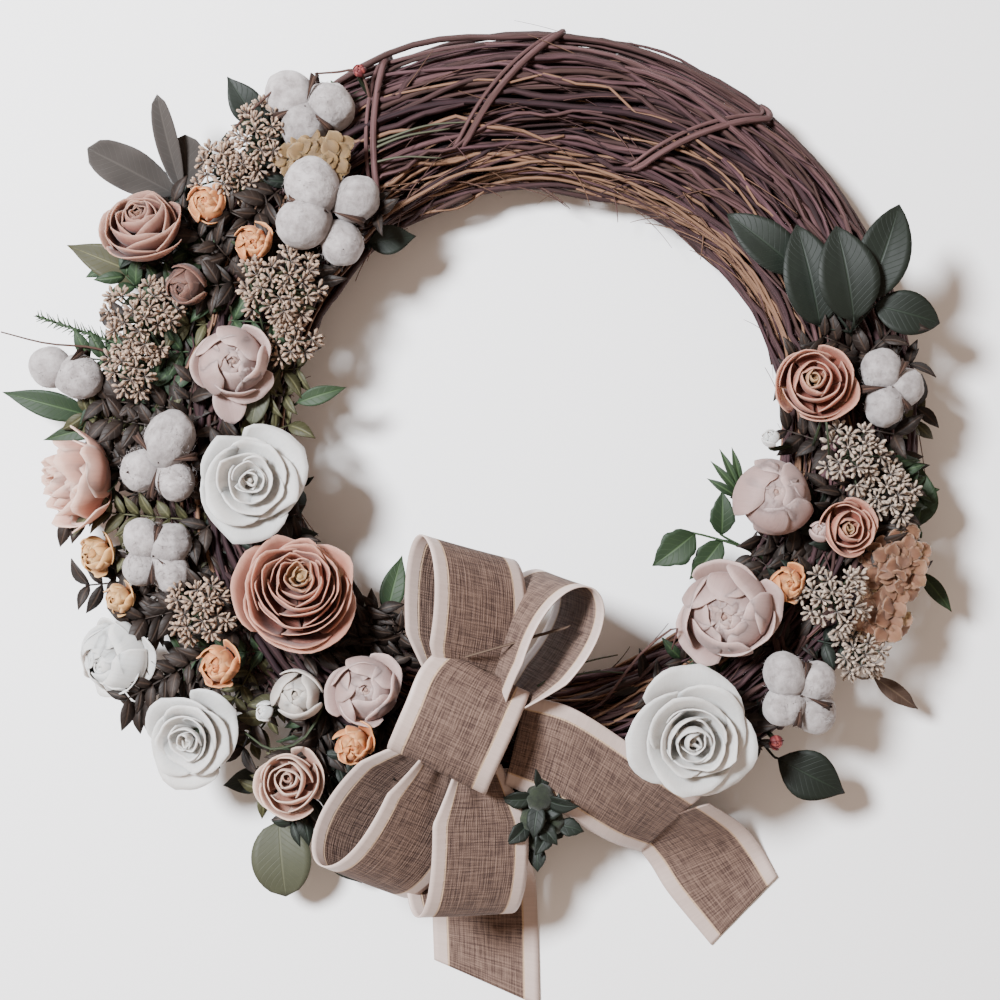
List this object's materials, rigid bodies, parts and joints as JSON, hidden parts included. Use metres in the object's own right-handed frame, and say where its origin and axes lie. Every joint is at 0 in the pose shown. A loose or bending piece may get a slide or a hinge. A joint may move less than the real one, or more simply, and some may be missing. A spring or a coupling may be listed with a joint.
{
  "type": "floral wreath",
  "caption": "Grapevine ring wreath with silk roses, ranunculus, cotton bolls, filler and leaves, and a burlap ribbon bow with hanging tails.",
  "frame": {"origin": "centre of the whole wreath's bounding box, on the surface that its back rests on", "axes": "+Z out of the wreath's face, +Y towards its top, away from the bow, and +X to the right as seen from the front"},
  "size_m": [0.5622, 0.578, 0.1261],
  "materials": {
    "vine": "rough dried grapevine canes, matt",
    "ribbon": "burlap weave with pale satin edges",
    "petals_white": "soft matt white petals",
    "petals_blush": "soft matt blush petals",
    "petals_dusty": "soft matt dusty rose petals with pale lips",
    "petals_orange": "soft matt orange petals",
    "petals_gold": "soft matt yellow-orange petals",
    "cotton": "raw cotton fibre",
    "filler": "small matt tan florets",
    "hydrangea_gold": "thin matt gold florets",
    "hydrangea_peach": "thin matt peach florets",
    "leaf_dark": "matt dark green leaf",
    "leaf_green": "matt green leaf",
    "leaf_grey": "felted grey leaf",
    "leaf_dried": "matt dried olive-brown leaf",
    "seed_heads": "matt green seed heads"
  },
  "bodies": {
    "root": {"berry_cluster": "seed_heads", "bow_loops": "ribbon", "bow_tail_bottom": "ribbon", "bow_tail_right": "ribbon", "cotton_far_left": "cotton", "cotton_mid_left": "cotton", "cotton_right_low": "cotton", "cotton_right_top": "cotton", "cotton_top": "cotton", "cotton_trio": "cotton", "cotton_upper": "cotton", "hydrangea_gold": "hydrangea_gold", "hydrangea_peach": "hydrangea_peach", "leaf_bow_left": "leaf_dark", "leaf_dried_low_right": "leaf_dried", "leaf_eucalyptus": "leaf_grey", "leaf_inner_left": "leaf_green", "leaf_low_right": "leaf_dark", "leaf_olive": "leaf_green", "leaf_top": "leaf_green", "leaf_vine_end": "leaf_dark", "leaves_dark_low": "leaf_dark", "leaves_far_left": "leaf_grey", "leaves_lambs_ear": "leaf_grey", "leaves_right_edge": "leaf_green", "leaves_rose_inner_right": "leaf_green", "leaves_rose_top_right": "leaf_dark", "peony_blush_bud": "petals_blush", "peony_blush_left": "petals_blush", "peony_blush_right": "petals_blush", "peony_pale_left": "petals_blush", "peony_pink_left": "petals_dusty", "pompon_far_left": "petals_gold", "pompon_left": "petals_gold", "pompon_low": "petals_orange", "pompon_low_left": "petals_orange", "pompon_right": "petals_orange", "pompon_top": "petals_orange", "pompon_upper": "petals_orange", "ranunculus_blush": "petals_blush", "ranunculus_bud_left": "petals_dusty", "ranunculus_large": "petals_dusty", "ranunculus_low": "petals_dusty", "ranunculus_right": "petals_dusty", "ranunculus_right_low": "petals_dusty", "ranunculus_top_left": "petals_dusty", "rose_white_left": "petals_white", "rose_white_low": "petals_white", "rose_white_right": "petals_white", "rosebud_white": "petals_white", "sprig_far_left": "leaf_green", "sprig_right": "leaf_green", "umbel_left": "filler", "umbel_low_left": "filler", "umbel_right_low": "filler", "umbel_right_top": "filler", "umbel_top": "filler", "umbel_upper": "filler", "vine_ring": "vine"}
  },
  "joints": []
}
